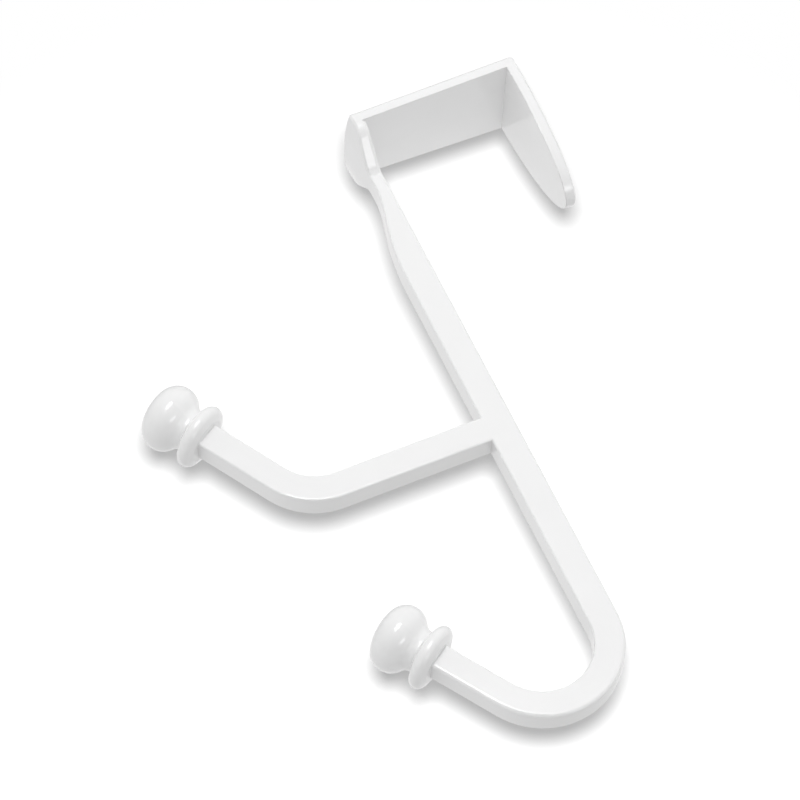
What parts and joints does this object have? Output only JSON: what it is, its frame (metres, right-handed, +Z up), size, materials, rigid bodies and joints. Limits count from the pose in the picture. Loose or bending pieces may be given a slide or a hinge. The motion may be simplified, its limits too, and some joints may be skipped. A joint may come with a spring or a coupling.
{
  "type": "closet hook",
  "caption": "Over-the-door closet hook cast in one piece: a saddle for the door's top edge, a flat stem, an upswept arm and a curled lower hook, each ending in a turned knob.",
  "frame": {"origin": "middle of the seat, the underside of the saddle's web where it rests on the door's top edge", "axes": "+Z up as the hook hangs, -Y the way the arms reach out from the door, +X across the door, with the hook symmetric about X = 0"},
  "size_m": [0.0246, 0.1174, 0.1577],
  "materials": {
    "white_paint": "semi-gloss white paint over a zinc die casting"
  },
  "bodies": {
    "root": {"hook": "white_paint"}
  },
  "joints": []
}
